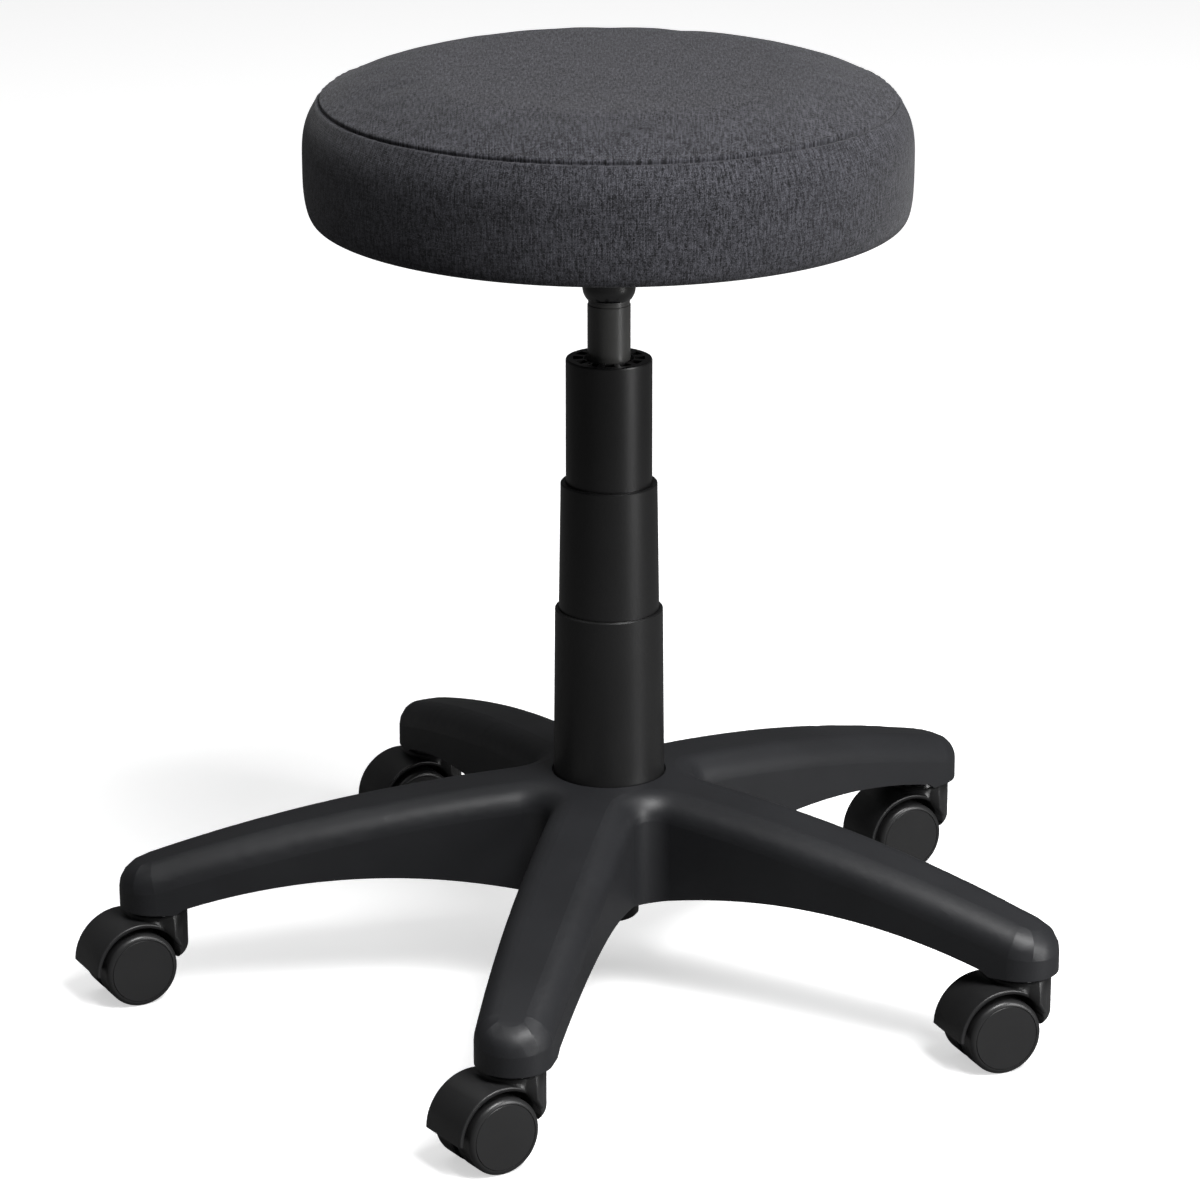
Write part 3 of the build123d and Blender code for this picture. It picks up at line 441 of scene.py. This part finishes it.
def seat_profile():
    """The cover's half profile from crown to hem as (radius, height), and the seam's index."""
    low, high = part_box("seat_cover")
    wide, crown, under = high.x, high.z, low.z
    seam_r, seam_z, bulge_z = wide - SEAM_INSET, crown - SEAM_DROP, under + BULGE_RISE
    flat = FLAT_SHARE * seam_r
    panel_r = np.arange(RING_STEP, seam_r - NEAR_SEAM[0] - RING_STEP / 2, RING_STEP)
    top_r = np.concatenate([panel_r, seam_r - NEAR_SEAM, [seam_r]])
    shoulder = ((seam_r - flat) ** 2 + SEAM_DROP ** 2) / (2 * SEAM_DROP)
    top_z = crown - shoulder + np.sqrt(shoulder ** 2 - np.clip(top_r - flat, 0, None) ** 2)
    span = seam_z - bulge_z
    lower_side = np.linspace(NEAR_SEAM[0] / span, 1.0, SIDE_RINGS)[1:]
    down = np.concatenate([NEAR_SEAM[::-1] / span, lower_side])
    side_r = wide - SEAM_INSET * (1 - down) ** SIDE_POWER
    side_z = seam_z - span * down
    turn = np.linspace(0, math.pi / 2, ROLL_RINGS)[1:]
    roll_r = wide - ROLL_DEPTH + ROLL_DEPTH * np.cos(turn) ** (2 / ROLL_POWER)
    roll_z = bulge_z - BULGE_RISE * np.sin(turn) ** (2 / ROLL_POWER)
    hem_start = wide - ROLL_DEPTH
    hem_r = np.arange(hem_start - RING_STEP, hem_start - HEM_WIDTH, -RING_STEP)
    radius = np.concatenate([top_r, side_r, roll_r, hem_r])
    height = np.concatenate([top_z, side_z, roll_z, np.full(len(hem_r), under)])
    return radius, height, len(top_r) - 1


def profile_normals(radius, height):
    """Outward unit normals of the half profile."""
    dr, dz = np.gradient(radius), np.gradient(height)
    length = np.hypot(dr, dz)
    return -dz / length, dr / length


def offset_profile(radius, height, offsets):
    """The half profile at every segment, moved along its normals by a field of offsets."""
    n_r, n_z = profile_normals(radius, height)
    return radius[:, None] + offsets * n_r[:, None], height[:, None] + offsets * n_z[:, None]


def path_length(radius, height):
    """Distance along the half profile from its first point."""
    return np.concatenate([[0], np.cumsum(np.hypot(np.diff(radius), np.diff(height)))])


def turned_faces(rings, first, flip=False):
    """Quads between rings of points and a fan round the pole; ring 0 is nearest the pole."""
    faces = [(first, first + 1 + i, first + 1 + j) for i, j in ROUND]
    for ring in range(rings - 1):
        inner, outer = first + 1 + ring * SEGMENTS, first + 1 + (ring + 1) * SEGMENTS
        faces += [(inner + i, outer + i, outer + j, inner + j) for i, j in ROUND]
    return [face[::-1] for face in faces] if flip else faces


def turned_points(radius, height):
    """Rings of points from radius and height arrays, each (rings, SEGMENTS) or (rings,)."""
    shape = (len(radius), SEGMENTS)
    radius = np.broadcast_to(np.reshape(radius, (len(radius), -1)), shape)
    height = np.broadcast_to(np.reshape(height, (len(height), -1)), shape)
    return np.stack([radius * np.cos(ANGLES), radius * np.sin(ANGLES), height], axis=-1)


def turned_solid(name, rings, top, bottom):
    """A closed object from rings of points and the heights of its two poles."""
    verts = np.vstack([[0, 0, top], rings.reshape(-1, 3), [0, 0, bottom]])
    last = 1 + (len(rings) - 1) * SEGMENTS
    faces = turned_faces(len(rings), 0)
    faces += [(last + i, len(verts) - 1, last + j) for i, j in ROUND]
    return new_object(name, verts, faces)


def stand_off(cover, on_profile, outward):
    """How far a closed cover stands off each profile point, along the outward directions."""
    tree = BVHTree.FromObject(cover, bpy.context.evaluated_depsgraph_get())
    distances = np.zeros(on_profile.shape[:2])
    for ring in range(len(on_profile)):
        for k in range(SEGMENTS):
            away = Vector(outward[ring, k])
            start = Vector(on_profile[ring, k]) - away * SEARCH_REACH
            hit = tree.ray_cast(start, away, 2.5 * SEARCH_REACH)
            distances[ring, k] = hit[3] - SEARCH_REACH if hit[0] is not None else np.nan
    return distances


def relaxed(cover):
    """Evens out the voxel steps of a cover."""
    smooth = cover.modifiers.new("relax", "SMOOTH")
    smooth.factor, smooth.iterations = RELAX_FACTOR, RELAX_TURNS
    bpy.ops.object.modifier_apply(modifier=smooth.name)


def voxel_cover(radius, height):
    """A closed cover in small even cells, made the active object."""
    start = turned_solid("cover_sim", turned_points(radius, height), height[0], height[-1])
    remesh = start.modifiers.new("voxels", "REMESH")
    remesh.mode = "VOXEL"
    remesh.voxel_size = VOXEL
    bpy.context.view_layer.objects.active = start
    bpy.ops.object.modifier_apply(modifier=remesh.name)
    return start


def pressure_shift(start, rest, held):
    """How far pressure moves each point of a cover at rest, where some of them are held."""
    pins = start.vertex_groups.new(name="held")
    pins.add(np.flatnonzero(held).tolist(), 1.0, "REPLACE")
    cloth = start.modifiers.new("cloth", "CLOTH")
    cloth.settings.vertex_group_mass = "held"
    cloth.settings.use_pressure = True
    cloth.settings.uniform_pressure_force = PRESSURE
    cloth.settings.quality = CLOTH_QUALITY
    cloth.settings.effector_weights.gravity = 0.0
    cloth.collision_settings.use_collision = False
    for step in range(1, CLOTH_STEPS + 1):
        bpy.context.scene.frame_set(step)
    settled = start.evaluated_get(bpy.context.evaluated_depsgraph_get())
    shift = mesh_points(settled) - rest
    start.modifiers.clear()
    length = np.linalg.norm(shift, axis=1, keepdims=True)
    return shift * np.minimum(1.0, PUFF_LIMIT / np.maximum(length, 1e-9))


def puffed_offsets(radius, height, seam):
    """How far cloth simulation swells a closed cover that is held at its seam and underside."""
    n_r, n_z = profile_normals(radius, height)
    small_r, small_z = radius - START_INSET * n_r, height - START_INSET * n_z
    start = voxel_cover(small_r, small_z)
    rest = mesh_points(start)
    around = np.hypot(rest[:, 0], rest[:, 1])
    to_seam = np.hypot(around - small_r[seam], rest[:, 2] - small_z[seam])
    low = rest[:, 2] < height[-1] + START_INSET + HELD_RISE
    shift = pressure_shift(start, rest, (to_seam < HELD_ROUND) | low)
    on_profile, outward = turned_points(radius, height), turned_points(n_r, n_z)
    swollen = []
    for part in (0.0, 1.0):
        start.data.vertices.foreach_set("co", (rest + part * shift).ravel())
        start.data.update()
        relaxed(start)
        swollen.append(stand_off(start, on_profile, outward))
    bpy.data.objects.remove(start)
    bpy.context.scene.frame_set(1)
    return np.nan_to_num(swollen[1] - swollen[0])


def ripples(waves, seed):
    """Seeded waves round the seat, from pairs of a count and a height."""
    rng = np.random.default_rng(seed)
    return sum(a * np.sin(n * ANGLES[None, :] + rng.uniform(0, 2 * math.pi)) for n, a in waves)


def seam_relief(radius, height, seam):
    """The sewn crease, its two rolled lips and the slight pucker of the stitches."""
    along = path_length(radius, height)
    along = (along - along[seam])[:, None]
    pucker = ripples(PUCKERS, PUCKER_SEED)
    crease = -CREASE_DEPTH * (1 + pucker) * np.exp(-(along / CREASE_WIDTH) ** 2)
    lip = LIP_RISE * (1 + 2 * pucker)
    upper = lip * np.exp(-((along + LIP_REACH) / (0.8 * LIP_REACH)) ** 2)
    lower = 0.5 * lip * np.exp(-((along - LIP_REACH) / (0.9 * LIP_REACH)) ** 2)
    return crease + upper + lower


def waviness(rings, seam):
    """Low, slow unevenness that hand upholstery leaves in the boxing and near the seam."""
    span = np.arange(rings)[:, None]
    reach = np.clip((span - 0.35 * seam) / (0.65 * seam), 0, 1)
    reach = reach * np.clip((rings - WAVE_STILL - span) / WAVE_FADE, 0, 1)
    return ripples(WAVES, WAVE_SEED) * reach * WAVE_HEIGHT


def cloth_uvs(mesh, rings_of, seam, along):
    """Lays the weave flat on the top panel and wraps it round the boxing, in metres."""
    layer = mesh.uv_layers.new(name="cloth")
    points = np.array([v.co for v in mesh.vertices])
    loops = np.array([loop.vertex_index for loop in mesh.loops])
    angle = np.arctan2(points[:, 1], points[:, 0])
    uv = np.zeros((len(loops), 2))
    for face in mesh.polygons:
        used = list(face.loop_indices)
        verts = loops[used]
        if rings_of[verts].max() <= seam:
            uv[used] = points[verts][:, :2]
            continue
        turn = angle[verts]
        if turn.max() - turn.min() > math.pi:
            turn = np.where(turn < 0, turn + 2 * math.pi, turn)
        uv[used] = np.stack([turn * along[0], along[1 + rings_of[verts]]], axis=1)
    layer.data.foreach_set("uv", uv.ravel())


def make_cover(radius, height, seam, offsets, soft):
    """The upholstered cover as a closed shell, with the soft offsets on its inner side."""
    outer = turned_points(*offset_profile(radius, height, offsets))
    inner = turned_points(*offset_profile(radius, height, soft - CLOTH_THICK))
    rings = len(radius)
    verts = np.vstack([[0, 0, outer[0, :, 2].mean()], outer.reshape(-1, 3),
                       [0, 0, inner[0, :, 2].mean()], inner.reshape(-1, 3)])
    second = 1 + rings * SEGMENTS
    faces = turned_faces(rings, 0) + turned_faces(rings, second, flip=True)
    edge_out = 1 + (rings - 1) * SEGMENTS
    edge_in = second + edge_out
    faces += [(edge_out + i, edge_in + i, edge_in + j, edge_out + j) for i, j in ROUND]
    cover = new_object("upholstered_cover", verts, faces)
    rings_of = np.concatenate([[0], np.repeat(np.arange(rings), SEGMENTS)] * 2)
    along = np.concatenate([[radius[seam]], path_length(radius, height)])
    cloth_uvs(cover.data, rings_of, seam, along)
    cover.data.materials.append(FINISHES["seat_fabric"])
    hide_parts("seat_cover")
    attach(cover, "seat")


def make_foam(radius, height, soft):
    """The foam pad: inside the cover, on the board and over its edge."""
    board_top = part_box("seat_board")[1].z + 0.1 * MM
    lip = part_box("seat_board")[1].x + 0.2 * MM
    keep = (radius > lip) | (height > board_top + 10 * MM)
    pad_r, pad_z = offset_profile(radius, height, soft - CLOTH_THICK - FOAM_GAP)
    pad_r, pad_z = pad_r[keep], pad_z[keep]
    under_r = np.array([lip, lip, 0.5 * lip, RING_STEP])
    under_z = np.array([pad_z[-1].mean(), board_top, board_top, board_top])
    pad = np.vstack([turned_points(pad_r, pad_z), turned_points(under_r, under_z)])
    foam = turned_solid("foam_pad", pad, pad[0, :, 2].mean(), board_top)
    foam.data.materials.append(FINISHES["foam"])
    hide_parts("seat_foam")
    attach(foam, "seat")


def make_cushion():
    """The cover and the foam, from the measured profile and what the simulation adds to it."""
    radius, height, seam = seat_profile()
    rings = len(radius)
    offsets = smoothed(puffed_offsets(radius, height, seam), 8, 3)
    hem = np.clip((rings - HEM_STILL - np.arange(rings)) / HEM_FADE, 0, 1)[:, None]
    offsets = offsets * hem + waviness(rings, seam) + seam_relief(radius, height, seam)
    soft = smoothed(offsets, 4, 4)
    make_cover(radius, height, seam, offsets, soft)
    make_foam(radius, height, soft)


make_cushion()


# ---------------------------------------------------------------- caster hoods
BOSS_R, BOSS_FOOT, BOSS_ROUND = 20.0 * MM, 25.0 * MM, 10.0 * MM
FOOT_POINTS = 9           # along the round of the boss's foot
LIP_TOP = 37.0 * MM       # the hood's shell is cleared away below this height beside the boss
CUT_GAP = 0.05 * MM
CUT_REACH = 1.6 * BOSS_R
CUT_FOOT = 0.4 * BOSS_FOOT
CUT_FROM, CUT_TO = math.radians(96), math.radians(264)
CUT_TURNS = 40
WELD = 0.002 * MM
CREASE_ANGLE = math.radians(28)


def lip_cutter(centre, heading):
    """Half a ring round a caster's boss and its rounded foot, on the side away from the wheels."""
    turn = np.linspace(0, math.pi / 2, FOOT_POINTS)
    foot_r = BOSS_R - BOSS_ROUND + BOSS_ROUND * np.sin(turn) + CUT_GAP
    foot_z = BOSS_FOOT + BOSS_ROUND * (1 - np.cos(turn)) - CUT_GAP
    radius = np.concatenate([[foot_r[0]], foot_r, [foot_r[-1], CUT_REACH, CUT_REACH]])
    height = np.concatenate([[CUT_FOOT], foot_z, [LIP_TOP, LIP_TOP, CUT_FOOT]])
    angle = heading + np.linspace(CUT_FROM, CUT_TO, CUT_TURNS)
    ring = len(radius)
    verts = [(centre.x + r * math.cos(a), centre.y + r * math.sin(a), z)
             for a in angle for r, z in zip(radius, height)]
    end = (CUT_TURNS - 1) * ring
    faces = []
    for first in range(0, end, ring):
        for i in range(ring):
            j = (i + 1) % ring
            faces.append((first + i, first + ring + i, first + ring + j, first + j))
    faces += [tuple(range(ring)), tuple(reversed(range(end, end + ring)))]
    cutter = new_object("lip_cutter", verts, faces, smooth=False)
    shape = bmesh.new()
    shape.from_mesh(cutter.data)
    bmesh.ops.recalc_face_normals(shape, faces=shape.faces)
    shape.to_mesh(cutter.data)
    shape.free()
    return cutter


def welded_copy(source, name):
    """A copy of a CAD piece in world coordinates, with its split corners joined."""
    shape = bmesh.new()
    shape.from_mesh(source.data)
    shape.transform(source.matrix_world)
    bmesh.ops.remove_doubles(shape, verts=shape.verts, dist=WELD)
    bmesh.ops.recalc_face_normals(shape, faces=shape.faces)
    mesh = bpy.data.meshes.new(name)
    shape.to_mesh(mesh)
    shape.free()
    made = bpy.data.objects.new(name, mesh)
    bpy.context.scene.collection.objects.link(made)
    return made


def make_hoods():
    """The hoods again, with the small lip of the shell beside each swivel boss cleared away."""
    joints = {joint["name"]: joint for joint in frame["record"]["behaviour"]["joints"]}
    for number in range(1, 6):
        swivel = Vector(joints[f"caster_{number}_swivel"]["pos_m"])
        axle = Vector(joints[f"wheel_{number}_left_spin"]["pos_m"])
        hood = welded_copy(NODES[f"caster_{number}_hood"], f"trimmed_hood_{number}")
        cutter = lip_cutter(swivel, math.atan2(axle.y - swivel.y, axle.x - swivel.x))
        cut = hood.modifiers.new("lip", "BOOLEAN")
        cut.operation, cut.solver, cut.object = "DIFFERENCE", "EXACT", cutter
        bpy.context.view_layer.objects.active = hood
        bpy.ops.object.modifier_apply(modifier=cut.name)
        bpy.data.objects.remove(cutter)
        hood.data.polygons.foreach_set("use_smooth", [True] * len(hood.data.polygons))
        hood.data.set_sharp_from_angle(angle=CREASE_ANGLE)
        hood.data.materials.clear()
        hood.data.materials.append(FINISHES["caster_plastic"])
        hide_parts(f"caster_{number}_hood")
        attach(hood, f"caster_{number}")


make_hoods()


# ---------------------------------------------------------------- floor and surroundings
FLOOR_HALF = 14.0         # the floor runs this far each way
FLOOR_COLOUR = (0.93, 0.93, 0.93)
FLOOR_GLOW = 0.56
FLOOR_BOUNCE = (0.13, 0.13, 0.13)
WORLD_COLOUR = (0.98, 0.99, 1.0)
WORLD_STRENGTH = 0.06


def make_floor():
    """A plain pale floor far past the view, which throws little light back at the stool."""
    half = FLOOR_HALF
    corners = [(-half, -half, 0), (half, -half, 0), (half, half, 0), (-half, half, 0)]
    floor = new_object("floor", corners, [(0, 1, 2, 3)], smooth=False)
    made, tree, shader = material("pale_floor")
    feed(tree, shader, {
        "Base Color": (*FLOOR_COLOUR, 1.0),
        "Roughness": 0.9,
        "Specular IOR Level": 0.1,
        "Emission Color": (1.0, 1.0, 1.0, 1.0),
        "Emission Strength": FLOOR_GLOW,
    })
    bounce = node(tree, "ShaderNodeBsdfDiffuse", {"Color": (*FLOOR_BOUNCE, 1.0)})
    seen = node(tree, "ShaderNodeLightPath").outputs["Is Camera Ray"]
    mix = node(tree, "ShaderNodeMixShader", {0: seen, 1: bounce.outputs[0], 2: shader.outputs[0]})
    tree.links.new(mix.outputs[0], tree.nodes["Material Output"].inputs["Surface"])
    floor.data.materials.append(made)


def make_world():
    """Dim even surroundings, so that the softboxes shape the object."""
    world = bpy.data.worlds.new("studio")
    world.use_nodes = True
    background = world.node_tree.nodes["Background"]
    background.inputs["Color"].default_value = (*WORLD_COLOUR, 1.0)
    background.inputs["Strength"].default_value = WORLD_STRENGTH
    bpy.context.scene.world = world


make_camera()
make_floor()
make_world()
for light in LIGHTS:
    softbox(*light)
bpy.context.scene.view_settings.view_transform = "Standard"
